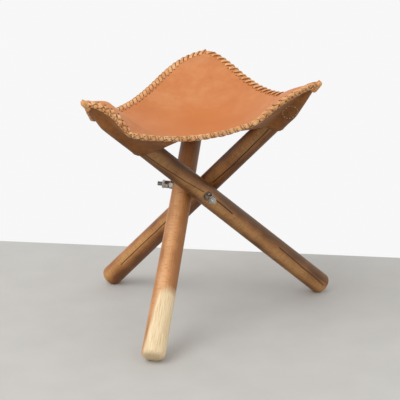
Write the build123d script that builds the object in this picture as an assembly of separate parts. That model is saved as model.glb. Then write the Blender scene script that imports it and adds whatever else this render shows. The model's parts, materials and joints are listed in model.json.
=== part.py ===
from build123d import *
import os
from math import cos, exp, log, pi, radians, sin, sqrt

# Three leg stool: three turned wooden legs on one three-way bolt, and a laced leather seat whose
# corner pockets take the leg tops. Millimetres, +Z up, the floor at z = 0. Each leg is named for
# where its foot stands; its top is in the pocket on the far side of the stool.

LEGS = ("front", "right", "left")
EDGES = {"front_edge": ("right", "left"), "right_edge": ("left", "front"), "left_edge": ("front", "right")}

# hub: how high the three-way bolt stands and how it leans in this stance
hub_height = 232.3
hub_lean_x = 3.3
hub_lean_y = 6.3
stud_azimuth = {"front": 180, "right": -60, "left": 60}
leg_offset = 26.9

# legs: turned hardwood, thicker at the foot, turned away from the hub axis by leg_splay
leg_splay = {"front": 49.8, "right": 51.8, "left": 40.5}
foot_length = 329.6
top_length = 240.0
foot_radius = 20.0
top_radius = 17.4
foot_round = 8.0
top_round = 8.0
centre_mark_radius = 1.6
centre_mark_depth = 3.0
bore_radius = 4.08
spotface_radius = 8.6
spotface_flat = 16.3

# three-way bolt and the M8 hardware on each stud
stud_radius = 4.0
thread_depth = 0.65
thread_pitch = 1.25
boss_radius = 7.0
stud_reach = 72.6
face_gap = 0.1
thread_clearance = 0.02
washer_radius = 8.0
washer_height = 1.6
nut_across_flats = 13.0
nut_height = 6.5
spring_washer_radius = 6.6
spring_washer_height = 1.8
spring_washer_split = 1.4
jam_nut_height = 4.5
hex_turns = {"inner": 12, "outer": 43, "jam": 27}

# seat: a sling that dishes between three laced corners
panel_thickness = 3.0
tip_reach = {"front": 291.5, "right": 285.0, "left": 310.0}
tip_lift = {"front": -9.5, "right": -6.0, "left": -8.5}
edge_bulge = {"front_edge": 23.5, "right_edge": 14.5, "left_edge": 42.5}
edge_fullness = 6.0
bowl_floor = 340.0
bowl_rise = 0.00265
bowl_reach = 250.0
bowl_slope = (0.105, 0.143)
ridge_radius = {"front": 90.0, "right": 34.0, "left": 90.0}
blend_width = 5.0
leather_gap = 0.8
nose_fall = 1.2
nose_cover = 2.0
edge_steps = 12
ring_steps = 7

# pockets: one leather flap under each corner, laced to the panel's edges, open towards the hub
flap_thickness = 2.5
pocket_depth = 125.0
pocket_steps = 8
pocket_share = 0.35
pocket_wrap = (-68, -34, 0, 34, 68)
pocket_nose = 0.16
pocket_slack = 1.6
pocket_hang = 3.8

# lacing: a band along each edge and a knot on each tip
lace_width = 3.5
lace_height = 8.0
lace_gap = 0.5
lace_margin = 0.045
knot_radius = 6.0
knot_offset = 8.0


def hub_frame():
    """Origin in the middle of the three-way bolt, Z up the leaning hub's axis."""
    return Location((0, 0, hub_height)) * Rot(X=hub_lean_x) * Rot(Y=hub_lean_y)


def stud_frame(leg):
    """Origin on the leg's axis, X out along the stud, Z up the hub's axis."""
    return hub_frame() * Rot(Z=stud_azimuth[leg]) * Pos(leg_offset, 0, 0)


def leg_frame(leg):
    """Origin where the stud crosses the leg, X out along the stud, Z up the leg."""
    return stud_frame(leg) * Rot(X=leg_splay[leg])


def leg_point(leg, along, out=0.0, side=0.0):
    """A point along the leg from its bolt, off its axis along the stud and across it."""
    return (leg_frame(leg) * Pos(out, side, along)).position


def leg_direction(leg):
    """Unit vector up the leg."""
    return leg_point(leg, 1) - leg_point(leg, 0)


def radius_at(along):
    """The turned leg's radius at a distance from its bolt, up positive."""
    share = (along + foot_length) / (foot_length + top_length)
    return foot_radius + (top_radius - foot_radius) * share


def turned_leg(leg):
    """One leg: turned taper, rounded ends, stud bore, spotface and a worn flat on the floor."""
    rod = Pos(0, 0, -foot_length) * Solid.make_cone(foot_radius, top_radius, foot_length + top_length)
    ends = rod.edges().filter_by(GeomType.CIRCLE).sort_by(Axis.Z)
    rod = fillet(ends[:1], foot_round)
    rod = fillet(rod.edges().filter_by(GeomType.CIRCLE).sort_by(Axis.Z)[-1:], top_round)
    bore = Rot(Y=90) * Cylinder(bore_radius, 4 * foot_radius)
    spotface = Pos(spotface_flat, 0, 0) * Rot(Y=90) * Cylinder(
        spotface_radius, foot_radius, align=(Align.CENTER, Align.CENTER, Align.MIN)
    )
    mark = Pos(0, 0, -foot_length) * Solid.make_cone(centre_mark_radius, 0.1, centre_mark_depth)
    placed = leg_frame(leg) * (rod - bore - spotface - mark)
    floor_cut = Pos(0, 0, -50) * Box(2000, 2000, 100)
    return placed - floor_cut


def stud_profile():
    """Half outline of one stud from the hub centre out: plain shank, then thread grooves."""
    thread_start = leg_offset + spotface_flat + face_gap
    points = [(0, 0), (0, stud_radius), (thread_start, stud_radius)]
    grooves = int((stud_reach - thread_start) / thread_pitch)
    for groove in range(grooves):
        start = thread_start + groove * thread_pitch
        points.append((start + thread_pitch / 2, stud_radius - thread_depth))
        points.append((start + thread_pitch, stud_radius))
    end = thread_start + grooves * thread_pitch
    points.append((end + thread_depth, stud_radius - thread_depth))
    points.append((end + thread_depth, 0))
    return points


def three_way_bolt():
    """Three threaded studs welded into one boss, in the leaning hub plane."""
    outline = make_face(Polyline(*stud_profile(), close=True))
    stud = revolve(outline, Axis.X)
    bolt = Sphere(boss_radius)
    for leg in LEGS:
        bolt += Rot(Z=stud_azimuth[leg]) * stud
    return hub_frame() * bolt


def ring(outer, inner, height):
    """A flat ring standing on z = 0."""
    base = (Align.CENTER, Align.CENTER, Align.MIN)
    return Cylinder(outer, height, align=base) - Cylinder(inner, height, align=base)


def plain_washer():
    """Flat washer for an M8 stud."""
    return ring(washer_radius, stud_radius + 0.2, washer_height)


def split_washer():
    """Spring washer: a ring with one slanting split."""
    body = ring(spring_washer_radius, stud_radius + 0.1, spring_washer_height)
    split = Rot(X=20) * Box(4 * spring_washer_radius, spring_washer_split, 4 * spring_washer_height)
    return body - Pos(2 * spring_washer_radius, 0, spring_washer_height / 2) * split


def hex_nut(height):
    """Hexagon nut with its corners chamfered on both faces and a plain bore over the thread."""
    base = (Align.CENTER, Align.CENTER, Align.MIN)
    corner = nut_across_flats / sqrt(3)
    body = extrude(RegularPolygon(corner, 6), height)
    chamfered = Cylinder(corner, height, align=base)
    chamfered = chamfer(chamfered.edges().filter_by(GeomType.CIRCLE), 0.6, 1.0)
    return (body & chamfered) - Cylinder(stud_radius + thread_clearance, height, align=base)


def stud_stack(leg):
    """The washers and nuts of one stud, outwards from the leg's spotface."""
    pieces = (
        ("washer", plain_washer(), washer_height, 0),
        ("inner_nut", hex_nut(nut_height), nut_height, hex_turns["inner"]),
        ("spring_washer", split_washer(), spring_washer_height, 75),
        ("outer_nut", hex_nut(nut_height), nut_height, hex_turns["outer"]),
        ("jam_nut", hex_nut(jam_nut_height), jam_nut_height, hex_turns["jam"]),
    )
    placed = {}
    seat = spotface_flat + face_gap
    for name, piece, height, turn in pieces:
        placed[f"{name}_{leg}"] = stud_frame(leg) * Pos(seat, 0, 0) * Rot(Y=90) * Rot(Z=turn) * piece
        seat += height
    return placed


def tip_point(leg):
    """The leather's corner beyond the leg's top."""
    return leg_point(leg, tip_reach[leg]) + Vector(0, 0, tip_lift[leg])


def seat_centre():
    """Middle of the three tips."""
    total = Vector(0, 0, 0)
    for leg in LEGS:
        total += tip_point(leg)
    return total * (1 / 3)


def edge_plan(edge, share):
    """Plan place on a seat edge, share 0 at its first tip and 1 at its second, at z = 0."""
    first, second = (tip_point(leg) for leg in EDGES[edge])
    middle = (first + second) * 0.5
    outward = Vector(middle.X - seat_centre().X, middle.Y - seat_centre().Y, 0).normalized()
    fullness = 1 - abs(2 * share - 1) ** edge_fullness
    point = first * (1 - share) + second * share + outward * (edge_bulge[edge] * fullness)
    return Vector(point.X, point.Y, 0)


def ridge_height(leg, x, y):
    """Height of the panel where it lies over one leg, falling away to the leg's sides."""
    bolt = leg_point(leg, 0)
    up = leg_direction(leg)
    run = sqrt(up.X**2 + up.Y**2)
    ux, uy = up.X / run, up.Y / run
    plan = (x - bolt.X) * ux + (y - bolt.Y) * uy
    across = (y - bolt.Y) * ux - (x - bolt.X) * uy
    along = plan / run
    cover = radius_at(along) / run + leather_gap + panel_thickness / run
    rounding_start = top_length - top_round
    past = min(1.0, (along - rounding_start) / (tip_reach[leg] - rounding_start))
    if past > 0:
        cover += (nose_cover + tip_lift[leg] - cover) * past**nose_fall
    return bolt.Z + along * up.Z + cover - across**2 / (2 * ridge_radius[leg])


def panel_height(x, y):
    """Upper face of the seat: a dish, blended into a ridge over each leg."""
    centre = seat_centre()
    dx, dy = x - centre.X, y - centre.Y
    span = dx**2 + dy**2
    bowl = bowl_floor + bowl_rise * span / (1 + span / bowl_reach**2)
    bowl += bowl_slope[0] * dx + bowl_slope[1] * dy
    heights = [bowl] + [ridge_height(leg, x, y) for leg in LEGS]
    top = max(heights)
    return top + blend_width * log(sum(exp((height - top) / blend_width) for height in heights))


def triangle(a, b, c):
    """Plane face on three corners."""
    return Face(Wire.make_polygon([a, b, c], close=True))


def closed_sheet(upper, lower, loop=False):
    """A solid between two nets of points with the same rows; loop joins each row's ends."""
    faces = []
    count = len(upper[0])
    spans = count if loop else count - 1

    def patch(a, b, c, d):
        for corner in ((a, b, c), (a, c, d)):
            if (corner[1] - corner[0]).cross(corner[2] - corner[0]).length > 1e-6:
                faces.append(triangle(*corner))

    for net in (upper, lower):
        for row, following in zip(net, net[1:]):
            for j in range(spans):
                k = (j + 1) % count
                patch(row[j], row[k], following[k], following[j])
    for i in (0, -1):
        if loop and i == 0:
            continue
        for j in range(spans):
            k = (j + 1) % count
            patch(upper[i][j], upper[i][k], lower[i][k], lower[i][j])
    if not loop:
        for j in (0, -1):
            for i in range(len(upper) - 1):
                patch(upper[i][j], upper[i + 1][j], lower[i + 1][j], lower[i][j])
    return Solid(Shell(faces))


def seat_outline():
    """Plan points round the seat's edge, in order, without repeats."""
    points = []
    for edge in ("front_edge", "right_edge", "left_edge"):
        for step in range(edge_steps):
            points.append(edge_plan(edge, (1 - cos(pi * step / edge_steps)) / 2))
    return points


def seat_panel():
    """The leather sling: a dished sheet with three raised corners."""
    centre = seat_centre()
    middle = Vector(centre.X, centre.Y, 0)
    upper, lower = [], []
    for ring_index in range(ring_steps + 1):
        share = ring_index / ring_steps
        row = [middle + (point - middle) * share for point in seat_outline()]
        upper.append([Vector(p.X, p.Y, panel_height(p.X, p.Y)) for p in row])
        lower.append([p - Vector(0, 0, panel_thickness) for p in upper[-1]])
    return closed_sheet(upper, lower, loop=True)


def edge_point(edge, share):
    """Point on the panel's upper face at its edge."""
    plan = edge_plan(edge, share)
    return Vector(plan.X, plan.Y, panel_height(plan.X, plan.Y))


def corner_edges(leg):
    """The two seat edges that meet at a leg's tip, as functions of the share away from the tip."""
    sides = []
    for edge, (first, second) in EDGES.items():
        if first == leg:
            sides.append(lambda share, edge=edge: edge_point(edge, share))
        if second == leg:
            sides.append(lambda share, edge=edge: edge_point(edge, 1 - share))
    across = leg_point(leg, 0, out=1) - leg_point(leg, 0)
    return sorted(sides, key=lambda side: (side(0.3) - tip_point(leg)).dot(across))


def pocket_row(leg, share, thickness):
    """One line of a pocket flap, from edge to edge round the leg's underside."""
    inner_side, outer_side = corner_edges(leg)
    drop = Vector(0, 0, panel_thickness + pocket_hang + thickness)
    along = tip_reach[leg] - pocket_depth * share
    shrink = min(1.0, max(pocket_nose, (tip_reach[leg] - along) / (tip_reach[leg] - top_length)))
    reach = (radius_at(along) + pocket_slack) * sqrt(1 - (1 - shrink) ** 2) + thickness
    row = [inner_side(pocket_share * share) - drop]
    for angle in pocket_wrap:
        turn = radians(angle)
        row.append(leg_point(leg, along, out=reach * sin(turn), side=reach * cos(turn) * under_side(leg)))
    row.append(outer_side(pocket_share * share) - drop)
    return row


def under_side(leg):
    """Sign of the leg frame's Y axis that points to the leg's underside."""
    return -1 if leg_point(leg, 0, side=1).Z > leg_point(leg, 0).Z else 1


def pocket_flap(leg):
    """Leather flap that holds one leg top under its corner of the seat."""
    shares = [pocket_nose + (1 - pocket_nose) * step / pocket_steps for step in range(pocket_steps + 1)]
    upper = [pocket_row(leg, share, 0.0) for share in shares]
    lower = [pocket_row(leg, share, flap_thickness) for share in shares]
    flap = closed_sheet(upper, lower)
    return flap if flap.volume > 0 else closed_sheet(lower, upper)


def edge_lace(edge):
    """Band of lacing that stands outside one seat edge."""
    centre = seat_centre()
    upper, lower = [], []
    for step in range(2 * edge_steps + 1):
        share = lace_margin + (1 - 2 * lace_margin) * step / (2 * edge_steps)
        point = edge_point(edge, share)
        ahead = edge_plan(edge, share + 0.01) - edge_plan(edge, share - 0.01)
        outward = Vector(ahead.Y, -ahead.X, 0).normalized()
        if outward.dot(Vector(point.X - centre.X, point.Y - centre.Y, 0)) < 0:
            outward = outward * -1
        top = point + Vector(0, 0, (lace_height - panel_thickness) / 2)
        near, far = top + outward * lace_gap, top + outward * (lace_gap + lace_width)
        upper.append([near, far])
        lower.append([near - Vector(0, 0, lace_height), far - Vector(0, 0, lace_height)])
    return closed_sheet(upper, lower)


def tip_knot(leg):
    """Knot of lacing on the leather's tip."""
    place = tip_point(leg) + leg_direction(leg) * knot_offset
    return Pos(place.X, place.Y, place.Z) * Sphere(knot_radius)


def stool():
    """Every sub-part by node name, in the hub's own plan place."""
    nodes = {"three_way_bolt": three_way_bolt(), "seat_panel": seat_panel()}
    for leg in LEGS:
        nodes[f"leg_{leg}"] = turned_leg(leg)
        nodes.update(stud_stack(leg))
        nodes[f"pocket_{leg}"] = pocket_flap(leg)
        nodes[f"tip_knot_{leg}"] = tip_knot(leg)
    for edge in EDGES:
        nodes[f"lace_{edge}"] = edge_lace(edge)
    return nodes


def plan_shift(nodes):
    """Move that puts the middle of the whole stool's box over the origin."""
    boxes = [node.bounding_box() for node in nodes.values()]
    low_x, high_x = min(box.min.X for box in boxes), max(box.max.X for box in boxes)
    low_y, high_y = min(box.min.Y for box in boxes), max(box.max.Y for box in boxes)
    return Pos(-(low_x + high_x) / 2, -(low_y + high_y) / 2, 0)


def main():
    """Write one STEP file per node."""
    os.makedirs("parts", exist_ok=True)
    nodes = stool()
    shift = plan_shift(nodes)
    for name, solid in nodes.items():
        placed = shift * solid
        placed.label = name
        export_step(placed, f"parts/{name}.step")
    print("plan shift", shift.position)


main()
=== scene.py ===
"""Three leg stool: a laced leather sling seat on three turned legs and a three-way bolt.

Metres, +Z up, the floor at z = 0. Each leg is named for where its foot stands, and its top is in
the seat's corner pocket on the far side of the stool.
"""

import json
import logging
import math
import random
from dataclasses import dataclass, field
from enum import Enum

import bmesh
import bpy
from mathutils import Matrix, Vector
from mathutils.bvhtree import BVHTree


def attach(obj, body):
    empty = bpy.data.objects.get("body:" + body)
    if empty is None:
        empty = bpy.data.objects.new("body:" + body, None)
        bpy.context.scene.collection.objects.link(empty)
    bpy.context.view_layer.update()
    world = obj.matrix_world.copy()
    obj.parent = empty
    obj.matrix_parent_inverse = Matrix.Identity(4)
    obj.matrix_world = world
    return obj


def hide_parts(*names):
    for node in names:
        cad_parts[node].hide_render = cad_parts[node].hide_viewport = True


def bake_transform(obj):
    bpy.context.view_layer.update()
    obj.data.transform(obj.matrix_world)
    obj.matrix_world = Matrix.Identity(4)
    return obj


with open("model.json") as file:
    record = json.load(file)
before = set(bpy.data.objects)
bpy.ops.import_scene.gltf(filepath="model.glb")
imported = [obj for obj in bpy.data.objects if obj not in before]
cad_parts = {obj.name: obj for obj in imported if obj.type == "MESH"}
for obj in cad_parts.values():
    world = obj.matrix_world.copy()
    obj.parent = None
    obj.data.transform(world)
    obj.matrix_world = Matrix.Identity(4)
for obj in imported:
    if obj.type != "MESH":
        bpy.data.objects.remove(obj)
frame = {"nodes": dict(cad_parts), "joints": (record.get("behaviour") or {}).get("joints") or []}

LOG = logging.getLogger("stool")
MM = 0.001
UP = Vector((0, 0, 1))
NOISE_RANGE = (0.3, 0.7)
SPECULAR = 0.35
THONG_SIDES = 8

Socket = bpy.types.NodeSocket
Tree = bpy.types.NodeTree


class Leg(Enum):
    """The three legs, each named for its foot."""

    FRONT = "front"
    RIGHT = "right"
    LEFT = "left"


class Edge(Enum):
    """The three seat edges, each with its first and second corner by leg."""

    FRONT = ("front_edge", Leg.RIGHT, Leg.LEFT)
    RIGHT = ("right_edge", Leg.LEFT, Leg.FRONT)
    LEFT = ("left_edge", Leg.FRONT, Leg.RIGHT)


def linear(colour: str) -> tuple[float, float, float, float]:
    """Turns an sRGB hex colour to linear.

    Args:
        colour: Six hex digits after a hash sign.

    Returns:
        Linear red, green and blue, and an alpha of 1.
    """
    shares = [int(colour[i : i + 2], 16) / 255 for i in (1, 3, 5)]
    return (*(s / 12.92 if s <= 0.04045 else ((s + 0.055) / 1.055) ** 2.4 for s in shares), 1.0)


def per_metre(size_mm: float) -> float:
    """Texture scale of a pattern whose features are that many millimetres apart."""
    return 1000 / size_mm


def set_inputs(tree: Tree, node: bpy.types.Node, inputs: dict) -> None:
    """Sets or links a node's inputs.

    Args:
        tree: The material's node tree.
        node: The node.
        inputs: Socket name or number to a value, or to another node's output to link.
    """
    for name, value in inputs.items():
        if isinstance(value, Socket):
            tree.links.new(value, node.inputs[name])
        else:
            node.inputs[name].default_value = value


def add_node(
    tree: Tree,
    kind: str,
    settings: dict | None = None,
    inputs: dict | None = None,
    stops: list[tuple[float, str]] | None = None,
) -> bpy.types.Node:
    """Adds one shader node with its settings and links.

    Args:
        tree: The material's node tree.
        kind: The node's type.
        settings: Properties to set on the node.
        inputs: Socket name or number to a value, or to another node's output to link.
        stops: Place and colour of each stop, for a colour ramp.

    Returns:
        The new node.
    """
    node = tree.nodes.new(kind)
    for name, value in (settings or {}).items():
        setattr(node, name, value)
    set_inputs(tree, node, inputs or {})
    if stops:
        ramp = node.color_ramp
        while len(ramp.elements) < len(stops):
            ramp.elements.new(0.5)
        for element, (place, colour) in zip(ramp.elements, stops):
            element.position = place
            element.color = linear(colour)
    return node


def object_place(tree: Tree) -> Socket:
    """Place on the piece, in metres."""
    return add_node(tree, "ShaderNodeTexCoord").outputs["Object"]


def noise(tree: Tree, place: Socket, size_mm: float, detail: float, roughness: float = 0.5) -> Socket:
    """Cloudy noise with features of a size."""
    inputs = {"Vector": place, "Scale": per_metre(size_mm), "Detail": detail, "Roughness": roughness}
    return add_node(tree, "ShaderNodeTexNoise", None, inputs).outputs["Fac"]


def tones(tree: Tree, value: Socket, stops: list[tuple[float, str]]) -> Socket:
    """Colours a value by stops."""
    return add_node(tree, "ShaderNodeValToRGB", None, {"Fac": value}, stops).outputs["Color"]


def mix_values(tree: Tree, share: float, first: Socket, second: Socket) -> Socket:
    """A mix of two values, with that share of the second."""
    inputs = {0: share, 2: first, 3: second}
    return add_node(tree, "ShaderNodeMix", {"data_type": "FLOAT"}, inputs).outputs[0]


def mix_colours(tree: Tree, share: Socket, under: Socket, over: Socket | str) -> Socket:
    """Lays a colour, from a socket or in hex, over another."""
    inputs = {0: share, 6: under, 7: linear(over) if isinstance(over, str) else over}
    return add_node(tree, "ShaderNodeMix", {"data_type": "RGBA"}, inputs).outputs[2]


def calculate(tree: Tree, operation: str, *values: Socket | float) -> Socket:
    """One step of arithmetic on values."""
    inputs = dict(enumerate(values))
    return add_node(tree, "ShaderNodeMath", {"operation": operation}, inputs).outputs["Value"]


def calculate_place(tree: Tree, operation: str, place: Socket, by: tuple) -> Socket:
    """One step of arithmetic on a place."""
    inputs = {0: place, 1: by}
    return add_node(tree, "ShaderNodeVectorMath", {"operation": operation}, inputs).outputs["Vector"]


def remap(
    tree: Tree,
    value: Socket,
    source: tuple[float, float],
    target: tuple[float, float],
    smooth: bool = False,
) -> Socket:
    """Maps one range of a value to another.

    Args:
        tree: The material's node tree.
        value: The value.
        source: The range that it comes from.
        target: The range that it goes to.
        smooth: Whether it eases in and out.

    Returns:
        The mapped value.
    """
    inputs = {
        "Value": value, "From Min": source[0], "From Max": source[1],
        "To Min": target[0], "To Max": target[1],
    }
    settings = {"interpolation_type": "SMOOTHSTEP"} if smooth else None
    return add_node(tree, "ShaderNodeMapRange", settings, inputs).outputs["Result"]


def bump(
    tree: Tree, height: Socket, strength: float, distance: float, normal: Socket | None = None
) -> Socket:
    """Raises a surface by a value, on top of another bump if one is given."""
    inputs = {"Height": height, "Strength": strength, "Distance": distance}
    if normal is not None:
        inputs["Normal"] = normal
    return add_node(tree, "ShaderNodeBump", None, inputs).outputs["Normal"]


def new_material(name: str) -> tuple[bpy.types.Material, bpy.types.Node]:
    """Starts a material.

    Args:
        name: The material's name.

    Returns:
        The material and its Principled shader.
    """
    material = bpy.data.materials.new(name)
    material.use_nodes = True
    tree = material.node_tree
    tree.nodes.clear()
    shader = add_node(tree, "ShaderNodeBsdfPrincipled")
    add_node(tree, "ShaderNodeOutputMaterial", None, {"Surface": shader.outputs["BSDF"]})
    return material, shader


@dataclass(frozen=True)
class LegLine:
    """Where one leg lies: its bolt, the way its stud points and the way it rises."""

    leg: Leg
    bolt: Vector
    out: Vector
    up: Vector

    @property
    def side(self) -> Vector:
        """Across the leg, square to its stud."""
        return self.up.cross(self.out)

    @property
    def body(self) -> str:
        """The moving body that this leg belongs to."""
        return f"{self.leg.value}_leg"

    @property
    def under(self) -> float:
        """Sign of the side that faces down."""
        return -1.0 if self.side.z > 0 else 1.0

    def point(self, along: float, out: float = 0.0, side: float = 0.0) -> Vector:
        """A point along the leg from its bolt and off its axis."""
        return self.bolt + self.up * along + self.out * out + self.side * side


@dataclass(frozen=True)
class SeatForm:
    """The sling's shape: corners beyond the leg tops, a dish, and a ridge over each leg."""

    splay: dict = field(default_factory=lambda: {Leg.FRONT: 49.8, Leg.RIGHT: 51.8, Leg.LEFT: 40.5})
    reach: dict = field(default_factory=lambda: {Leg.FRONT: 0.2915, Leg.RIGHT: 0.285, Leg.LEFT: 0.310})
    lift: dict = field(
        default_factory=lambda: {Leg.FRONT: -0.0095, Leg.RIGHT: -0.006, Leg.LEFT: -0.0085}
    )
    bulge: dict = field(
        default_factory=lambda: {Edge.FRONT: 0.0235, Edge.RIGHT: 0.0145, Edge.LEFT: 0.0425}
    )
    fullness: dict = field(default_factory=lambda: {Leg.FRONT: 6.0, Leg.RIGHT: 4.0, Leg.LEFT: 6.0})
    floor: float = 0.340
    rise: float = 2.65
    spread: float = 0.250
    slope: tuple[float, float] = (0.105, 0.143)
    ridge: dict = field(
        default_factory=lambda: {
            Leg.FRONT: (0.090, 0.090), Leg.RIGHT: (0.034, 0.044), Leg.LEFT: (0.090, 0.090)
        }
    )
    soften: float = 0.005
    gap: float = 0.0008
    thickness: float = 0.003
    nose_fall: float = 1.2
    nose_cover: float = 0.002
    foot_length: float = 0.3296
    top_length: float = 0.240
    top_round: float = 0.008
    foot_radius: float = 0.020
    top_radius: float = 0.0174

    def lines(self) -> dict[Leg, LegLine]:
        """Reads each leg's line from the joint that it folds on."""
        joints = {joint["child"]: joint for joint in frame["joints"]}
        outs = {leg: -Vector(joints[f"{leg.value}_leg"]["axis"]).normalized() for leg in Leg}
        hub_up = outs[Leg.RIGHT].cross(outs[Leg.LEFT]).normalized()
        found = {}
        for leg in Leg:
            turn = Matrix.Rotation(math.radians(self.splay[leg]), 3, outs[leg])
            bolt = Vector(joints[f"{leg.value}_leg"]["pos_m"])
            found[leg] = LegLine(leg, bolt, outs[leg], turn @ hub_up)
        return found

    def radius_at(self, along: float) -> float:
        """The turned leg's radius at a distance from its bolt."""
        share = (along + self.foot_length) / (self.foot_length + self.top_length)
        return self.foot_radius + (self.top_radius - self.foot_radius) * share


class Sling:
    """The seat's surface, worked out once from the form and the legs."""

    def __init__(self, form: SeatForm) -> None:
        """Places the corners.

        Args:
            form: The sling's shape.
        """
        self.form = form
        self.lines = form.lines()
        self.tips = {
            leg: line.point(form.reach[leg]) + UP * form.lift[leg] for leg, line in self.lines.items()
        }
        self.centre = sum(self.tips.values(), Vector()) / len(self.tips)

    def edge_plan(self, edge: Edge, share: float) -> Vector:
        """Plan place on an edge, share 0 at its first corner and 1 at its second."""
        _, first, second = edge.value
        middle = (self.tips[first] + self.tips[second]) / 2
        outward = Vector((middle.x - self.centre.x, middle.y - self.centre.y, 0)).normalized()
        full = self.form.fullness[first if share < 0.5 else second]
        bow = self.form.bulge[edge] * (1 - abs(2 * share - 1) ** full)
        point = self.tips[first].lerp(self.tips[second], share) + outward * bow
        return Vector((point.x, point.y, 0))

    def ridge(self, line: LegLine, x: float, y: float) -> float:
        """Height of the leather where it lies over one leg."""
        form = self.form
        run = math.hypot(line.up.x, line.up.y)
        ux, uy = line.up.x / run, line.up.y / run
        dx, dy = x - line.bolt.x, y - line.bolt.y
        along = (dx * ux + dy * uy) / run
        across = dy * ux - dx * uy
        cover = form.radius_at(along) / run + form.gap + form.thickness / run
        start = form.top_length - form.top_round
        past = min(1.0, (along - start) / (form.reach[line.leg] - start))
        if past > 0:
            cover += (form.nose_cover + form.lift[line.leg] - cover) * past**form.nose_fall
        radius = form.ridge[line.leg][0 if across > 0 else 1]
        return line.bolt.z + along * line.up.z + cover - across**2 / (2 * radius)

    def height(self, x: float, y: float) -> float:
        """Upper face of the leather at a plan place."""
        form = self.form
        dx, dy = x - self.centre.x, y - self.centre.y
        span = dx * dx + dy * dy
        bowl = form.floor + form.rise * span / (1 + span / form.spread**2)
        bowl += form.slope[0] * dx + form.slope[1] * dy
        heights = [bowl] + [self.ridge(line, x, y) for line in self.lines.values()]
        top = max(heights)
        return top + form.soften * math.log(sum(math.exp((h - top) / form.soften) for h in heights))

    def on(self, plan: Vector) -> Vector:
        """The point of the leather's upper face over a plan place."""
        return Vector((plan.x, plan.y, self.height(plan.x, plan.y)))

    def edge_point(self, edge: Edge, share: float) -> Vector:
        """Point of the upper face on an edge."""
        return self.on(self.edge_plan(edge, share))

    def normal(self, plan: Vector) -> Vector:
        """Upward normal of the leather at a plan place."""
        step = 1.0 * MM
        across = self.height(plan.x + step, plan.y) - self.height(plan.x - step, plan.y)
        ahead = self.height(plan.x, plan.y + step) - self.height(plan.x, plan.y - step)
        return Vector((-across, -ahead, 2 * step)).normalized()


class EdgeLine:
    """One seat edge measured by its real length, which places the lacing along it."""

    SAMPLES = 240

    def __init__(self, sling: Sling, edge: Edge, forward: bool) -> None:
        """Measures the edge.

        Args:
            sling: The seat's surface.
            edge: Which edge.
            forward: Whether the lacing runs from the edge's first corner to its second.
        """
        self.sling = sling
        self.edge = edge
        self.forward = forward
        self.lengths = [0.0]
        points = [sling.edge_point(edge, self.share_of(i)) for i in range(self.SAMPLES + 1)]
        for before, after in zip(points, points[1:]):
            self.lengths.append(self.lengths[-1] + (after - before).length)

    def share_of(self, index: float) -> float:
        """Share along the edge of a sample, in the way that the lacing runs."""
        share = index / self.SAMPLES
        return share if self.forward else 1 - share

    @property
    def length(self) -> float:
        """Length of the whole edge."""
        return self.lengths[-1]

    def index_at(self, distance: float) -> float:
        """Sample number at a distance along the edge."""
        low, high = 0, self.SAMPLES
        while high - low > 1:
            middle = (low + high) // 2
            low, high = (middle, high) if self.lengths[middle] <= distance else (low, middle)
        span = self.lengths[high] - self.lengths[low]
        return low + (distance - self.lengths[low]) / span

    def place(self, along: float, out: float, lift: float) -> Vector:
        """Bends a point of the straight lacing onto the edge.

        Args:
            along: Distance along the edge.
            out: Distance outwards from the leather's cut edge.
            lift: Distance above the leather's upper face.

        Returns:
            The point on the stool.
        """
        index = self.index_at(min(max(along, 0.0), self.length - 1e-6))
        plan = self.sling.edge_plan(self.edge, self.share_of(index))
        ahead = self.sling.edge_point(self.edge, self.share_of(min(index + 1, self.SAMPLES)))
        behind = self.sling.edge_point(self.edge, self.share_of(max(index - 1, 0)))
        way = (ahead - behind).normalized()
        normal = self.sling.normal(plan)
        outward = way.cross(normal).normalized()
        if outward.dot(Vector((plan.x - self.sling.centre.x, plan.y - self.sling.centre.y, 0))) < 0:
            outward = -outward
        return self.sling.on(plan) + outward * out + normal * lift

    def near_leg(self, along: float) -> Leg:
        """The corner that a distance along the edge is nearer to."""
        _, first, second = self.edge.value
        start, end = (first, second) if self.forward else (second, first)
        return start if along < self.length / 2 else end


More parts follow.
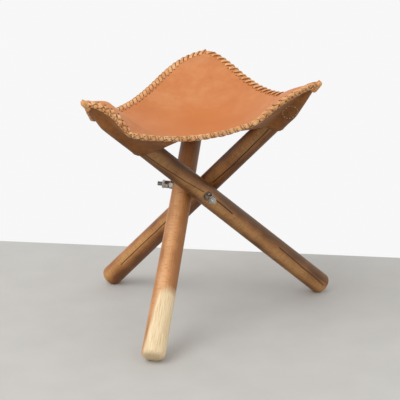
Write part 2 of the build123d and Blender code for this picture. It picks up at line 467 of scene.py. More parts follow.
@dataclass(frozen=True)
class LeatherFinish:
    """Vegetable tanned cowhide: warm, cloudy colour, fine pebbled grain and a soft waxy sheen."""

    MOTTLE_SHARE = 0.42
    POLISH_START = 0.02
    POLISH_STRENGTH = 0.65
    CREASE = (0.10, 0.002)
    GRAIN_DISTANCE = 0.0006

    name: str
    deep: str
    base: str
    pale: str
    cloud_mm: float = 70.0
    mottle_mm: float = 16.0
    grain_mm: float = 1.6
    roughness: float = 0.50
    grain_depth: float = 0.12
    polish_centre: Vector | None = None
    polish_reach: float = 0.14
    polish: str = "#B7641E"

    def build(self) -> bpy.types.Material:
        """Makes the material.

        Returns:
            The finished material.
        """
        material, shader = new_material(self.name)
        tree = material.node_tree
        place = object_place(tree)
        cloud = noise(tree, place, self.cloud_mm, 3.0, 0.55)
        mottle = noise(tree, place, self.mottle_mm, 5.0, 0.62)
        mixed = mix_values(tree, self.MOTTLE_SHARE, cloud, mottle)
        colour = tones(tree, mixed, [(0.36, self.deep), (0.50, self.base), (0.66, self.pale)])
        if self.polish_centre is not None:
            away = add_node(
                tree, "ShaderNodeVectorMath", {"operation": "DISTANCE"}, {0: place, 1: self.polish_centre}
            ).outputs["Value"]
            reach = (self.POLISH_START, self.polish_reach)
            worn = remap(tree, away, reach, (self.POLISH_STRENGTH, 0.0), smooth=True)
            colour = mix_colours(tree, worn, colour, self.polish)
        rough = remap(tree, mottle, NOISE_RANGE, (self.roughness - 0.07, self.roughness + 0.10))
        pebble = add_node(
            tree, "ShaderNodeTexVoronoi", {"feature": "SMOOTH_F1"},
            {"Vector": place, "Scale": per_metre(self.grain_mm), "Smoothness": 0.6},
        ).outputs["Distance"]
        crease = bump(tree, mottle, *self.CREASE)
        grain = bump(tree, pebble, self.grain_depth, self.GRAIN_DISTANCE, crease)
        set_inputs(
            tree, shader,
            {
                "Base Color": colour, "Roughness": rough, "Normal": grain,
                "Specular IOR Level": SPECULAR, "Sheen Weight": 0.02, "Sheen Roughness": 0.5,
            },
        )
        return material


@dataclass(frozen=True)
class Crack:
    """A drying crack along a leg: how far off the marked side's middle, and from where to where."""

    offset: float
    start: float
    end: float
    half_width: float = 0.0006
    wander: float = 0.0014
    slant: float = 0.0
    bow: float = 0.0


@dataclass(frozen=True)
class WoodFinish:
    """Oiled hardwood, turned on a lathe: long grain and short flecks under a thin satin film, with painted
    shade towards the top.
    """

    RING_SHARE = 0.45
    BROAD_SHARE = 0.40
    BROAD_MM = 60.0
    PITH_OFFSET = (0.021, 0.013, 0.0)
    FLECK_STRETCH = (0.30, 0.30, 1.0)
    FLECK_RANGE = (0.50, 0.68)
    FLECK_STRENGTH = 0.42
    # Painted shade towards the leg's top: where along the leg it grows, and its colour.
    PAINTED_SHADE_RANGE = (-0.02, 0.12)
    PAINTED_SHADE_COLOUR = "#3E2509"
    CRACK_COLOUR = "#24150A"
    RELIEF = (0.35, 0.0005)
    WORN_FRAY = 0.09
    WORN_BORDER = (0.030, 0.058)
    WORN_LEAN = -0.085
    WORN_SIDE = (0.0075, 0.0125)

    name: str
    dark: str
    base: str
    pale: str
    mark_turn: float
    cracks: tuple[Crack, ...] = ()
    worn_from: float | None = None
    worn: str = "#D9C29B"
    ring_mm: float = 5.5
    fibre_mm: float = 1.1
    fibre_stretch: float = 0.035
    fleck_mm: float = 2.2
    roughness: float = 0.46
    # How much painted shade darkens the leg's top.
    painted_shade: float = 0.35

    def build(self, line: LegLine) -> bpy.types.Material:
        """Makes the material along one leg.

        Args:
            line: The leg that it is for.

        Returns:
            The finished material.
        """
        material, shader = new_material(self.name)
        tree = material.node_tree
        toward = Matrix.Rotation(math.radians(self.mark_turn), 3, line.up) @ line.out
        turned = Matrix((line.up.cross(toward), -toward, line.up)).transposed()
        place = add_node(
            tree, "ShaderNodeMapping", {"vector_type": "TEXTURE"},
            {"Vector": object_place(tree), "Location": line.bolt, "Rotation": turned.to_euler()},
        ).outputs["Vector"]
        stretched = calculate_place(tree, "MULTIPLY", place, (1.0, 1.0, self.fibre_stretch))
        fibre = noise(tree, stretched, self.fibre_mm, 4.0, 0.6)
        rings = add_node(
            tree, "ShaderNodeTexWave", {"wave_type": "RINGS", "rings_direction": "Z"},
            {
                "Vector": calculate_place(tree, "ADD", stretched, self.PITH_OFFSET),
                "Scale": per_metre(self.ring_mm) / 20, "Distortion": 3.5, "Detail": 2.0,
                "Detail Scale": 1.2,
            },
        ).outputs["Fac"]
        broad = noise(tree, place, self.BROAD_MM, 2.0)
        grain = mix_values(tree, self.RING_SHARE, fibre, rings)
        cloudy = mix_values(tree, self.BROAD_SHARE, grain, broad)
        colour = tones(tree, cloudy, [(0.36, self.dark), (0.50, self.base), (0.64, self.pale)])
        parts = add_node(tree, "ShaderNodeSeparateXYZ", None, {"Vector": place}).outputs
        # Short rays across the grain, as on the quarter-sawn side of a beech or oak turning.
        fleck_place = calculate_place(tree, "MULTIPLY", place, self.FLECK_STRETCH)
        fleck = noise(tree, fleck_place, self.fleck_mm, 2.0)
        flecked = remap(tree, fleck, self.FLECK_RANGE, (0.0, self.FLECK_STRENGTH))
        colour = mix_colours(tree, flecked, colour, self.dark)
        # Painted shade: the colour darkens towards the leg's top, where the seat shades it.
        painted_shade_share = remap(tree, parts["Z"], self.PAINTED_SHADE_RANGE, (0.0, self.painted_shade), smooth=True)
        colour = mix_colours(tree, painted_shade_share, colour, self.PAINTED_SHADE_COLOUR)
        if self.worn_from is not None:
            colour = self.worn_foot(tree, colour, parts, broad, fibre)
        depth = fibre
        for crack in self.cracks:
            mask = self.crack_mask(tree, crack, parts, broad)
            colour = mix_colours(tree, mask, colour, self.CRACK_COLOUR)
            depth = calculate(tree, "SUBTRACT", depth, mask)
        rough = remap(tree, fibre, NOISE_RANGE, (self.roughness - 0.08, self.roughness + 0.12))
        set_inputs(
            tree, shader,
            {
                "Base Color": colour, "Roughness": rough, "Normal": bump(tree, depth, *self.RELIEF),
                "Specular IOR Level": SPECULAR,
            },
        )
        return material

    def worn_foot(
        self, tree: Tree, colour: Socket, parts: bpy.types.NodeOutputs, broad: Socket, fibre: Socket
    ) -> Socket:
        """Bleaches the foot where the finish has worn off the marked side.

        Args:
            tree: The material's node tree.
            colour: The colour so far.
            parts: Place across, behind and along the leg.
            broad: Slow noise that frays the patch's border.
            fibre: Grain that still shows in the bare wood.

        Returns:
            The colour with the worn patch.
        """
        frayed = calculate(tree, "MULTIPLY_ADD", broad, self.WORN_FRAY, parts["Z"])
        border = (self.worn_from + self.WORN_BORDER[0], self.worn_from + self.WORN_BORDER[1])
        below = remap(tree, frayed, border, (1.0, 0.0), smooth=True)
        lean = calculate(tree, "MULTIPLY_ADD", parts["Z"], self.WORN_LEAN, parts["X"])
        beside = remap(tree, lean, self.WORN_SIDE, (0.0, 1.0), smooth=True)
        mask = calculate(tree, "MULTIPLY", below, beside)
        bare = tones(tree, fibre, [(0.30, "#B99A6E"), (0.52, self.worn), (0.75, "#E8D7B8")])
        return mix_colours(tree, mask, colour, bare)

    def crack_mask(self, tree: Tree, crack: Crack, parts: bpy.types.NodeOutputs, broad: Socket) -> Socket:
        """Where one crack is.

        Args:
            tree: The material's node tree.
            crack: The crack.
            parts: Place across, behind and along the leg.
            broad: Slow noise that the crack wanders with.

        Returns:
            A value of 1 in the crack and 0 away from it.
        """
        slanted = calculate(tree, "MULTIPLY_ADD", parts["Z"], -crack.slant, parts["X"])
        wandered = calculate(tree, "MULTIPLY_ADD", broad, 2 * crack.wander, slanted)
        middle, half = (crack.start + crack.end) / 2, (crack.end - crack.start) / 2
        from_middle = calculate(tree, "SUBTRACT", parts["Z"], middle)
        squared = calculate(tree, "MULTIPLY", from_middle, from_middle)
        bowed = calculate(tree, "MULTIPLY_ADD", squared, crack.bow / half**2, wandered)
        centre = crack.offset + crack.wander + crack.bow
        line = calculate(tree, "COMPARE", bowed, centre, crack.half_width)
        within = calculate(tree, "COMPARE", parts["Z"], middle, half)
        facing = calculate(tree, "LESS_THAN", parts["Y"], 0.0)
        return calculate(tree, "MULTIPLY", calculate(tree, "MULTIPLY", line, within), facing)


@dataclass(frozen=True)
class PlatedFinish:
    """Zinc plated steel, barrel plated and handled: bright, slightly blotched and finely scuffed."""

    name: str
    bright: str = "#C9C8C2"
    dull: str = "#7A7972"
    blotch_mm: float = 4.0
    roughness: float = 0.30

    def build(self) -> bpy.types.Material:
        """Makes the material.

        Returns:
            The finished material.
        """
        material, shader = new_material(self.name)
        tree = material.node_tree
        blotch = noise(tree, object_place(tree), self.blotch_mm, 4.0)
        colour = tones(tree, blotch, [(0.35, self.dull), (0.60, self.bright)])
        rough = remap(tree, blotch, NOISE_RANGE, (self.roughness - 0.08, self.roughness + 0.14))
        set_inputs(tree, shader, {"Base Color": colour, "Roughness": rough, "Metallic": 1.0})
        return material


@dataclass(frozen=True)
class PlainFinish:
    """Waxed linen thread, painted shade inside a punched hole, or a painted floor: matt and even."""

    name: str
    dark: str
    pale: str
    fuzz_mm: float = 1.0
    roughness: float = 0.8

    def build(self) -> bpy.types.Material:
        """Makes the material.

        Returns:
            The finished material.
        """
        material, shader = new_material(self.name)
        tree = material.node_tree
        fuzz = noise(tree, object_place(tree), self.fuzz_mm, 3.0)
        colour = tones(tree, fuzz, [(0.35, self.dark), (0.65, self.pale)])
        set_inputs(tree, shader, {"Base Color": colour, "Roughness": self.roughness})
        return material


def loose_mesh(bm: bmesh.types.BMesh, name: str) -> bpy.types.Mesh:
    """Turns a bmesh, which is freed, into a mesh."""
    mesh = bpy.data.meshes.new(name)
    bm.to_mesh(mesh)
    bm.free()
    return mesh


def dress_node(name: str, material: bpy.types.Material) -> None:
    """Gives a part of the frame its only material."""
    slots = frame["nodes"][name].data.materials
    slots.clear()
    slots.append(material)


def finish_mesh(bm: bmesh.types.BMesh, name: str, materials: list[bpy.types.Material]) -> bpy.types.Object:
    """Turns a bmesh into a smooth-shaded object at the origin.

    Args:
        bm: The finished bmesh, which is freed.
        name: The piece's name.
        materials: Its material slots.

    Returns:
        The new object.
    """
    for face in bm.faces:
        face.smooth = True
    mesh = loose_mesh(bm, name)
    for material in materials:
        mesh.materials.append(material)
    piece = bpy.data.objects.new(name, mesh)
    bpy.context.scene.collection.objects.link(piece)
    return piece


def swept_thong(
    path: list[Vector], facing: list[Vector], width: float, thickness: float
) -> bmesh.types.BMesh:
    """Sweeps a flat thong with rounded edges along a path.

    Args:
        path: Points along the thong's middle.
        facing: The way its flat face points at each of them.
        width: Across the flat.
        thickness: Through it.

    Returns:
        A closed bmesh.
    """
    bm = bmesh.new()
    placed = []
    for i, point in enumerate(path):
        way = (path[min(i + 1, len(path) - 1)] - path[max(i - 1, 0)]).normalized()
        wide = way.cross(facing[i]).normalized()
        high = wide.cross(way).normalized()
        turn = Matrix((wide * width / 2, high * thickness / 2, way)).transposed().to_4x4()
        placed.append(Matrix.Translation(point) @ turn)
    ring = bmesh.ops.create_circle(bm, segments=THONG_SIDES, radius=1.0, cap_ends=True)["verts"]
    bmesh.ops.transform(bm, matrix=placed[0], verts=ring)
    face = ring[0].link_faces[0]
    for before, after in zip(placed, placed[1:]):
        made = bmesh.ops.extrude_face_region(bm, geom=[face])["geom"]
        moved = [item for item in made if isinstance(item, bmesh.types.BMVert)]
        face = next(item for item in made if isinstance(item, bmesh.types.BMFace))
        bmesh.ops.transform(bm, matrix=after @ before.inverted(), verts=moved)
    bmesh.ops.recalc_face_normals(bm, faces=bm.faces)
    return bm


class Seat:
    """The leather sling in three corner panels, which meet along seams."""

    STEPS = 56
    BEND_START = 0.38
    BEND_END = 0.60

    def __init__(self, sling: Sling, leather: LeatherFinish) -> None:
        """Keeps the surface and the finish."""
        self.sling = sling
        self.leather = leather

    def bend(self, piece: bpy.types.Object, leg: Leg) -> None:
        """Bakes a piece's placement into its mesh; the piece does not fold with its leg."""
        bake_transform(piece)

    def corner_edges(self, leg: Leg) -> list[tuple[Edge, bool]]:
        """The two edges at a corner, each with whether it starts there."""
        return [(edge, edge.value[1] is leg) for edge in Edge if leg in edge.value[1:]]

    def half_edge(self, edge: Edge, starts: bool, share: float) -> Vector:
        """Plan place from an edge's middle, at share 0, to its corner, at share 1."""
        whole = 0.5 - share / 2 if starts else 0.5 + share / 2
        return self.sling.edge_plan(edge, whole)

    def build(self) -> list[bpy.types.Object]:
        """Makes the three corner panels.

        Returns:
            The panels.
        """
        material = self.leather.build()
        return [self.panel(leg, material) for leg in Leg]

    def panel(self, leg: Leg, material: bpy.types.Material) -> bpy.types.Object:
        """One corner panel, from the seat's middle to the corner.

        Args:
            leg: The leg whose top the corner holds.
            material: The leather.

        Returns:
            The panel.
        """
        first, second = self.corner_edges(leg)
        centre = Vector((self.sling.centre.x, self.sling.centre.y, 0))
        middle_a, middle_b = self.half_edge(*first, 0.0), self.half_edge(*second, 0.0)
        corner = self.half_edge(*first, 1.0)
        bm = bmesh.new()
        grid = bmesh.ops.create_grid(bm, x_segments=self.STEPS, y_segments=self.STEPS, size=1.0)
        for vert in grid["verts"]:
            u, v = (vert.co.x + 1) / 2, (vert.co.y + 1) / 2
            rows = centre.lerp(middle_a, u).lerp(self.half_edge(*second, u), v)
            columns = centre.lerp(middle_b, v).lerp(self.half_edge(*first, v), u)
            flat = centre.lerp(middle_a, u).lerp(middle_b.lerp(corner, u), v)
            vert.co = self.sling.on(rows + columns - flat)
        bmesh.ops.recalc_face_normals(bm, faces=bm.faces)
        if sum(face.normal.z for face in bm.faces) < 0:
            bmesh.ops.reverse_faces(bm, faces=bm.faces)
        for border in bm.edges:
            border.smooth = not border.is_boundary
        panel = finish_mesh(bm, f"seat_panel_{leg.value}", [material])
        thick = panel.modifiers.new("thickness", "SOLIDIFY")
        thick.thickness = self.sling.form.thickness
        thick.offset = -1.0
        self.bend(panel, leg)
        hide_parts("seat_panel")
        return panel


class Pockets:
    """The leather flaps under the corners that hold the leg tops."""

    DEPTH = 0.125
    SHARE = 0.35
    WRAP = (-82, -68, -51, -34, -17, 0, 17, 34, 51, 68, 82)
    NOSE = 0.16
    SLACK = 0.0016
    HANG = 0.0008
    THICKNESS = 0.0025
    ROWS = 26
    COLUMNS = 30
    NOSE_POWER = 0.75
    SORT_PLACE = 0.3
    TURN_START = 0.35
    TURN_LENGTH = 0.40
    FIRST_ROW = 0.004
    SMOOTH_ROUNDS = 3
    SMOOTH_FACTOR = 0.4
    MOUTH = {Leg.FRONT: (1.0, 1.0), Leg.RIGHT: (0.90, 1.14), Leg.LEFT: (0.96, 0.86)}

    def __init__(self, sling: Sling, leather: LeatherFinish) -> None:
        """Keeps the surface and the finish."""
        self.sling = sling
        self.leather = leather

    def row(self, leg: Leg, at: float) -> list[Vector]:
        """One line of a flap, from edge to edge round the leg's underside.

        Args:
            leg: The leg whose top it holds.
            at: Share of the pocket's depth, 0 at the corner and 1 at the mouth.

        Returns:
            The line's points.
        """
        line, form = self.sling.lines[leg], self.sling.form
        share, closing = max(at, self.NOSE), at / self.NOSE
        sides = []
        for edge in Edge:
            if edge.value[1] is leg:
                sides.append((edge, False))
            if edge.value[2] is leg:
                sides.append((edge, True))

        def on_side(side: tuple[Edge, bool], away: float) -> Vector:
            """A point of one of the corner's edges, by its share away from the corner."""
            return self.sling.edge_point(side[0], 1 - away if side[1] else away)

        sides.sort(key=lambda side: (on_side(side, self.SORT_PLACE) - self.sling.tips[leg]).dot(line.out))
        reach = form.reach[leg]
        along = reach - self.DEPTH * share
        full = form.top_length - form.top_round
        shrink = min(1.0, max(self.NOSE, (reach - along) / (reach - full)))
        round_it = (form.radius_at(along) + self.SLACK) * shrink**self.NOSE_POWER
        drop = UP * (form.thickness + self.HANG)
        wrap = []
        for angle in self.WRAP:
            turn = math.radians(angle)
            wrap.append(line.point(along, round_it * math.sin(turn), round_it * math.cos(turn) * line.under))
        if closing < 1:
            nose = self.sling.tips[leg] - drop
            wrap = [nose.lerp(point, math.sin(closing * math.pi / 2)) for point in wrap]
        ends = [on_side(side, self.SHARE * at) - drop for side in sides]
        return [ends[0], *wrap, ends[1]]

    @staticmethod
    def along_line(points: list[Vector], share: float) -> Vector:
        """The point at a share of the length of a line of points."""
        spans = [(b - a).length for a, b in zip(points, points[1:])]
        left = share * sum(spans)
        for a, b, span in zip(points, points[1:], spans):
            if left <= span or b is points[-1]:
                return a.lerp(b, min(1.0, left / max(span, 1e-9)))
            left -= span
        return points[-1]

    def build(self) -> dict[Leg, bpy.types.Object]:
        """Makes the three flaps.

        Returns:
            Each leg's flap.
        """
        material = self.leather.build()
        return {leg: self.flap(leg, material) for leg in Leg}

    def flap(self, leg: Leg, material: bpy.types.Material) -> bpy.types.Object:
        """One flap, laced to the panel's edges and open towards the hub.

        Args:
            leg: The leg whose top it holds.
            material: The leather.

        Returns:
            The flap.
        """
        bm = bmesh.new()
        grid = bmesh.ops.create_grid(bm, x_segments=self.COLUMNS, y_segments=self.ROWS, size=1.0)
        first, second = self.MOUTH[leg]
        for vert in grid["verts"]:
            u, v = (vert.co.x + 1) / 2, (vert.co.y + 1) / 2
            turned = min(1.0, max(0.0, (u - self.TURN_START) / self.TURN_LENGTH))
            cut = first + (second - first) * turned * turned * (3 - 2 * turned)
            vert.co = self.along_line(self.row(leg, max(v * cut, self.FIRST_ROW)), u)
        inner = [vert for vert in bm.verts if not vert.is_boundary]
        for _ in range(self.SMOOTH_ROUNDS):
            bmesh.ops.smooth_vert(
                bm, verts=inner, factor=self.SMOOTH_FACTOR,
                use_axis_x=True, use_axis_y=True, use_axis_z=True,
            )
        bmesh.ops.recalc_face_normals(bm, faces=bm.faces)
        outward = sum((f.normal.dot(f.calc_center_median() - self.axis_near(leg, f)) for f in bm.faces), 0.0)
        if outward < 0:
            bmesh.ops.reverse_faces(bm, faces=bm.faces)
        flap = finish_mesh(bm, f"corner_pocket_{leg.value}", [material])
        thick = flap.modifiers.new("thickness", "SOLIDIFY")
        thick.thickness = self.THICKNESS
        thick.offset = 1.0
        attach(flap, self.sling.lines[leg].body)
        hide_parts(f"pocket_{leg.value}")
        return flap

    def axis_near(self, leg: Leg, face: bmesh.types.BMFace) -> Vector:
        """The point of a leg's axis beside a face."""
        line = self.sling.lines[leg]
        return line.point((face.calc_center_median() - line.bolt).dot(line.up))


class Lacing:
    """Flat leather thong whipped round the seat's edge, with a braided look from outside."""

    PITCH = {Edge.FRONT: 0.0128, Edge.RIGHT: 0.0145, Edge.LEFT: 0.0112}
    WIDTH = 0.0066
    THICKNESS = 0.0017
    MARGIN = 0.002
    CORE = ((-1.5, 0.4, -1.6), (3.0, 0.4, -1.6), (7.5, 0.4, -1.6), (12.0, 0.4, -1.6), (16.0, 0.4, -1.6))
    CORE_WIDTH = 0.0046
    CORE_THICKNESS = 0.0040
    UPPER = (
        (0.0, -7.6, -0.9), (1.6, -6.2, 0.8), (4.4, -3.6, 1.6), (7.4, -0.9, 1.7),
        (10.4, 1.8, 0.9), (13.2, 3.2, -1.0), (15.6, 3.2, -2.6),
    )
    UPPER_FACING = ((-0.3, 1.0), (-0.1, 1.0), (0.1, 1.0), (0.3, 1.0), (0.7, 0.8), (1.0, 0.3), (1.0, 0.0))
    LOWER = (
        (1.0, -4.5, -5.0), (3.0, -2.2, -5.7), (5.6, 0.4, -5.7), (8.4, 2.6, -4.6),
        (11.2, 3.9, -2.9), (14.0, 3.9, -1.4), (16.6, 2.6, -0.6),
    )
    LOWER_FACING = ((0.0, -1.0), (0.0, -1.0), (0.2, -1.0), (0.7, -0.8), (1.0, -0.3), (1.0, 0.0), (1.0, 0.2))
    HOLE_RADIUS = 0.0013
    HOLE_PLACE = (-0.6, -8.9, 0.05)
    HOLE_TAPER = 0.9
    HOLE_DEPTH = 0.0004
    UNEVEN = 0.5
    SWELL = (0.94, 1.08)
    SEED = 11

    def __init__(self, sling: Sling, seat: Seat, thong: bpy.types.Material, hole: bpy.types.Material) -> None:
        """Keeps the surface, the seat, and the finishes."""
        self.sling = sling
        self.seat = seat
        self.materials = [thong, hole]
        self.random = random.Random(self.SEED)

    def strand(self, places: tuple, facings: tuple, width: float, thickness: float) -> bpy.types.Mesh:
        """One straight strand of a stitch, as a small mesh to be bent onto the edge.

        Args:
            places: Points along it in millimetres: along, out and up from the cut edge.
            facings: The way its flat faces at each, out and up.
            width: Across its flat.
            thickness: Through it.

        Returns:
            The strand's mesh.
        """
        path = [Vector(place) * MM for place in places]
        facing = [Vector((0.0, out, lift)).normalized() for out, lift in facings]
        return loose_mesh(swept_thong(path, facing, width, thickness), "strand")

    def hole(self) -> bpy.types.Mesh:
        """A dark disc of painted shade in one punched hole, beside the end of a stitch."""
        bm = bmesh.new()
        bmesh.ops.create_cone(
            bm, cap_ends=True, segments=8, radius1=self.HOLE_RADIUS,
            radius2=self.HOLE_RADIUS * self.HOLE_TAPER, depth=self.HOLE_DEPTH,
            matrix=Matrix.Translation(Vector(self.HOLE_PLACE) * MM),
        )
        mesh = loose_mesh(bm, "hole")
        for polygon in mesh.polygons:
            polygon.material_index = 1
        return mesh

    def build(self) -> list[bpy.types.Object]:
        """Laces all three edges.

        Returns:
            The lacing of each corner.
        """
        corners = {leg: bmesh.new() for leg in Leg}
        strands = (
            self.strand(self.CORE, ((0.0, 1.0),) * len(self.CORE), self.CORE_WIDTH, self.CORE_THICKNESS),
            self.strand(self.LOWER, self.LOWER_FACING, self.WIDTH, self.THICKNESS),
            self.strand(self.UPPER, self.UPPER_FACING, self.WIDTH, self.THICKNESS),
        )
        hole = self.hole()
        for edge in Edge:
            line = EdgeLine(self.sling, edge, forward=edge is Edge.FRONT)
            pitch = self.PITCH[edge]
            count = int((line.length - 2 * self.MARGIN) / pitch)
            first = (line.length - count * pitch) / 2
            for number in range(count):
                start = first + number * pitch + self.random.uniform(-self.UNEVEN, self.UNEVEN) * MM
                bm = corners[line.near_leg(start + pitch / 2)]
                swell = self.random.uniform(*self.SWELL)
                for mesh in (*strands, hole):
                    known = len(bm.verts)
                    bm.from_mesh(mesh)
                    bm.verts.ensure_lookup_table()
                    for vert in bm.verts[known:]:
                        along, out, lift = vert.co
                        vert.co = line.place(start + along, out * swell, lift * swell)
        replaced = {Leg.FRONT: "lace_right_edge", Leg.RIGHT: "lace_left_edge", Leg.LEFT: "lace_front_edge"}
        pieces = []
        for leg, bm in corners.items():
            bmesh.ops.recalc_face_normals(bm, faces=bm.faces)
            piece = finish_mesh(bm, f"edge_lacing_{leg.value}", self.materials)
            self.seat.bend(piece, leg)
            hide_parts(replaced[leg])
            pieces.append(piece)
        return pieces


class TipWraps:
    """The thong's last turns, bound tight over each corner's nose."""

    TURNS = 4.4
    STEPS = 15
    LENGTH = 0.0190
    START = -0.0110
    THICK_END = 0.0060
    THIN_END = 0.0040
    WIDTH = 0.0052
    THICKNESS = 0.0016
    TAPER = 1.6
    CORE_GIRTH = 0.9
    CORE_LENGTH = 0.62
    CORE_SHIFT = 0.001

    def __init__(self, sling: Sling, thong: bpy.types.Material) -> None:
        """Keeps the surface and the finish."""
        self.sling = sling
        self.thong = thong

    def build(self) -> dict[Leg, bpy.types.Object]:
        """Binds the three corners."""
        return {leg: self.wrap(leg) for leg in Leg}

    def wrap(self, leg: Leg) -> bpy.types.Object:
        """One corner's binding: a leather core with the thong wound over it.

        Args:
            leg: The leg whose corner it is.

        Returns:
            The binding.
        """
        line = self.sling.lines[leg]
        tip = self.sling.tips[leg] - UP * self.sling.form.thickness / 2
        path, facing = [], []
        count = int(self.TURNS * self.STEPS)
        for step in range(count + 1):
            share = step / count
            turn = 2 * math.pi * self.TURNS * share
            radius = self.THICK_END + (self.THIN_END - self.THICK_END) * share**self.TAPER
            ray = line.out * math.cos(turn) + line.side * math.sin(turn)
            path.append(tip + line.up * (self.START + self.LENGTH * share) + ray * radius)
            facing.append(ray)
        bm = swept_thong(path, facing, self.WIDTH, self.THICKNESS)
        core = bmesh.new()
        bmesh.ops.create_uvsphere(core, u_segments=20, v_segments=12, radius=1.0)
        turned = Matrix((line.out, line.side, line.up)).transposed().to_4x4()
        middle = tip + line.up * (self.START + self.LENGTH / 2 + self.CORE_SHIFT)
        girth = self.THICK_END * self.CORE_GIRTH
        sized = Matrix.Diagonal((girth, girth, self.LENGTH * self.CORE_LENGTH, 1.0))
        bmesh.ops.transform(core, matrix=Matrix.Translation(middle) @ turned @ sized, verts=core.verts)
        bm.from_mesh(loose_mesh(core, "core"))
        piece = finish_mesh(bm, f"tip_wrap_{leg.value}", [self.thong])
        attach(piece, line.body)
        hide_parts(f"tip_knot_{leg.value}")
        return piece


class ThreadRing:
    """A plain ring of hand stitches in pale thread on the outside of one corner pocket."""

    RADIUS = 0.0125
    STITCHES = 15
    LONG = 0.0034
    THREAD = 0.00035
    PROUD = 0.0003
    PLACE = 0.241
    TURN = -48.0
    START_OUT = 0.06

    def __init__(self, sling: Sling, flap: bpy.types.Object, thread: bpy.types.Material) -> None:
        """Keeps the flap that it is sewn to."""
        self.sling = sling
        self.flap = flap
        self.thread = thread

    def build(self) -> bpy.types.Object:
        """Sews the ring.

        Returns:
            The stitches.
        """
        line = self.sling.lines[Leg.LEFT]
        graph = bpy.context.evaluated_depsgraph_get()
        tree = BVHTree.FromObject(self.flap, graph)
        ray = line.out * math.sin(math.radians(self.TURN))
        ray += line.side * math.cos(math.radians(self.TURN)) * line.under
        centre = line.point(self.PLACE)
        across = line.up.cross(ray).normalized()
        bm = bmesh.new()
        for number in range(self.STITCHES):
            turn = 2 * math.pi * number / self.STITCHES
            aim = centre + (line.up * math.cos(turn) + across * math.sin(turn)) * self.RADIUS
            hit, normal, _, _ = tree.ray_cast(aim + ray * self.START_OUT, -ray)
            if hit is None:
                continue
            way = line.up * -math.sin(turn) + across * math.cos(turn)
            way = (way - normal * way.dot(normal)).normalized()
            turned = Matrix((way, normal.cross(way), normal)).transposed().to_4x4()
            sized = Matrix.Diagonal((self.LONG / 2, self.THREAD, self.THREAD, 1.0))
            place = Matrix.Translation(hit + normal * self.PROUD) @ turned @ sized
            bmesh.ops.create_uvsphere(bm, u_segments=8, v_segments=6, radius=1.0, matrix=place)
        piece = finish_mesh(bm, "thread_ring", [self.thread])
        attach(piece, line.body)
        return piece


class Woodwork:
    """The three turned legs, which keep their shape and get their wood."""

    FINISHES = {
        Leg.FRONT: WoodFinish(
            "oiled_hardwood_orange", "#925E30", "#BA8250", "#CE9A6A", mark_turn=97.3,
            # The front leg gets the most painted shade towards its top.
            worn_from=-0.215, painted_shade=0.75,
        ),
        Leg.RIGHT: WoodFinish(
            "oiled_hardwood_brown", "#5C3A1B", "#936439", "#B0824F", mark_turn=1.7,
            cracks=(
                Crack(0.0020, 0.012, 0.190, slant=-0.058, bow=-0.0045),
                Crack(0.0035, -0.062, -0.014, half_width=0.0010, slant=0.03),
                Crack(0.0118, -0.318, -0.185, half_width=0.0008, slant=0.034),
                Crack(0.0085, -0.322, -0.285, half_width=0.0004),
            ),
        ),
        Leg.LEFT: WoodFinish(
            "oiled_hardwood_red", "#6C401E", "#A46C3A", "#BE8A52", mark_turn=-165.3,
            cracks=(
                Crack(0.0040, 0.025, 0.190, half_width=0.0008, bow=0.002),
                Crack(-0.0030, -0.270, -0.110, half_width=0.0007),
            ),
        ),
    }

    def dress(self, sling: Sling) -> None:
        """Gives each leg its wood."""
        for leg, line in sling.lines.items():
            dress_node(f"leg_{leg.value}", self.FINISHES[leg].build(line))
            LOG.info("dressed leg_%s", leg.value)


class Hardware:
    """The three-way bolt and the washers and nuts on its studs."""

    STEMS = ("washer", "inner_nut", "spring_washer", "outer_nut", "jam_nut")

    def dress(self) -> None:
        """Plates the steel."""
        zinc = PlatedFinish("zinc_plated_steel").build()
        bolt = PlatedFinish("zinc_plated_rod", "#B9B8B2", "#77766F", roughness=0.36).build()
        # The washers get a darker grey than the nuts and the bolt.
        washer = PlatedFinish("darker_zinc_washer", "#9B9A93", "#6C6B64", roughness=0.42).build()
        for leg in Leg:
            for stem in self.STEMS:
                dress_node(f"{stem}_{leg.value}", washer if "washer" in stem else zinc)
        dress_node("three_way_bolt", bolt)
        LOG.info("plated %d pieces", len(Leg) * len(self.STEMS) + 1)


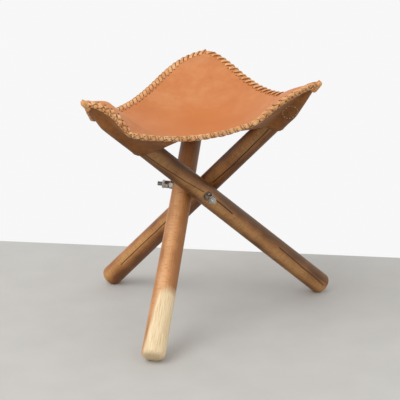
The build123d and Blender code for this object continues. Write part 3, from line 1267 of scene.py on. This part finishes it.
class Studio:
    """Pale floor, soft light from the upper left, and the camera."""

    FLOOR_HALF = 6.0
    FLOOR_BACK = 0.357
    FLOOR_TURN = -4.9
    CAMERA_FROM_HUB = Vector((0.2862, -2.0338, 0.5697))
    CAMERA_AZIMUTH = 7.94
    CAMERA_ELEVATION = 16.09
    CAMERA_ROLL = -1.71
    STUD_CROSSING = 0.0269
    LENS = 108.4
    LAMPS = (
        ("key", (-1.5, -1.3, 2.6), 2.2, 52.0),
        ("fill", (2.2, -1.6, 1.5), 2.4, 14.0),
    )
    LAMP_AIM = Vector((0, 0, 0.25))
    SURROUND = "#FAFAFA"
    SURROUND_STRENGTH = 0.975

    def build(self, lines: dict[Leg, LegLine]) -> None:
        """Sets the stage.

        Args:
            lines: The legs, which say where the hub is.
        """
        hub = sum((line.bolt - line.out * self.STUD_CROSSING for line in lines.values()), Vector()) / 3
        self.floor()
        self.lights()
        self.camera(hub + self.CAMERA_FROM_HUB)
        bpy.context.scene.view_settings.view_transform = "Standard"

    def floor(self) -> None:
        """A matt, pale grey floor that ends behind the stool."""
        bm = bmesh.new()
        bmesh.ops.create_grid(bm, x_segments=1, y_segments=1, size=self.FLOOR_HALF)
        bmesh.ops.translate(bm, verts=bm.verts, vec=Vector((0, -self.FLOOR_HALF, 0)))
        turned = Matrix.Rotation(math.radians(self.FLOOR_TURN), 4, "Z")
        back = Matrix.Translation(Vector((0, self.FLOOR_BACK, 0)))
        bmesh.ops.transform(bm, matrix=back @ turned, verts=bm.verts)
        ground = PlainFinish("painted_concrete", "#AFADA9", "#B3B1AD", fuzz_mm=90.0, roughness=0.75)
        finish_mesh(bm, "floor", [ground.build()])

    def lights(self) -> None:
        """A large soft key, a weak fill and a white surround."""
        for name, place, size, power in self.LAMPS:
            data = bpy.data.lights.new(name, "AREA")
            data.size = size
            data.energy = power
            lamp = bpy.data.objects.new(name, data)
            lamp.location = place
            lamp.rotation_mode = "QUATERNION"
            lamp.rotation_quaternion = (self.LAMP_AIM - Vector(place)).to_track_quat("-Z", "Y")
            bpy.context.scene.collection.objects.link(lamp)
        world = bpy.data.worlds.new("surround")
        world.use_nodes = True
        bpy.context.scene.world = world
        sky = world.node_tree.nodes.get("Background") or add_node(world.node_tree, "ShaderNodeBackground")
        output = world.node_tree.nodes.get("World Output") or add_node(
            world.node_tree, "ShaderNodeOutputWorld"
        )
        world.node_tree.links.new(sky.outputs["Background"], output.inputs["Surface"])
        sky.inputs["Color"].default_value = linear(self.SURROUND)
        sky.inputs["Strength"].default_value = self.SURROUND_STRENGTH

    def camera(self, place: Vector) -> None:
        """A long lens from the front, a little above the seat."""
        data = bpy.data.cameras.new("camera")
        data.lens = self.LENS
        camera = bpy.data.objects.new("camera", data)
        turned = (
            Matrix.Rotation(math.radians(self.CAMERA_AZIMUTH), 4, "Z")
            @ Matrix.Rotation(math.radians(90 - self.CAMERA_ELEVATION), 4, "X")
            @ Matrix.Rotation(math.radians(self.CAMERA_ROLL), 4, "Z")
        )
        camera.matrix_world = Matrix.Translation(place) @ turned
        bpy.context.scene.collection.objects.link(camera)
        bpy.context.scene.camera = camera


def main() -> None:
    """Builds and dresses the stool, in order."""
    logging.basicConfig(level=logging.INFO, format="%(message)s")
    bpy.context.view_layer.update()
    sling = Sling(SeatForm())
    Studio().build(sling.lines)
    floor_of_dish = sling.on(Vector((sling.centre.x, sling.centre.y, 0)))
    seat_leather = LeatherFinish(
        "vegetable_tanned_cowhide", "#B3682F", "#BA733E", "#C0804F", polish_centre=floor_of_dish
    )
    # The flaps' leather is the seat leather made darker: painted shade for flaps that hang in the seat's
    # shadow.
    painted_shade_pocket_leather = LeatherFinish(
        "vegetable_tanned_cowhide_painted_shade", "#64390F", "#7E4C1C", "#965F2A",
        mottle_mm=11.0, grain_mm=1.2, roughness=0.66,
    )
    thong = LeatherFinish(
        "cowhide_thong", "#B87A46", "#CF9862", "#DDB080", cloud_mm=24.0, mottle_mm=5.0, grain_mm=1.0,
        roughness=0.52, grain_depth=0.08,
    ).build()
    # Painted shade: near-black discs stand for the shadow inside the punched holes.
    hole = PlainFinish("punched_hole_painted_shade", "#2A1509", "#3A2010").build()
    thread = PlainFinish("waxed_linen_thread", "#BFA77A", "#DDCBA4").build()
    seat = Seat(sling, seat_leather)
    panels = seat.build()
    flaps = Pockets(sling, painted_shade_pocket_leather).build()
    lacing = Lacing(sling, seat, thong, hole).build()
    wraps = TipWraps(sling, thong).build()
    ring = ThreadRing(sling, flaps[Leg.LEFT], thread).build()
    for piece in (*panels, *flaps.values(), *lacing, *wraps.values(), ring):
        LOG.info("built %s: %d faces", piece.name, len(piece.data.polygons))
    Woodwork().dress(sling)
    Hardware().dress()


if __name__ == "__main__":
    main()
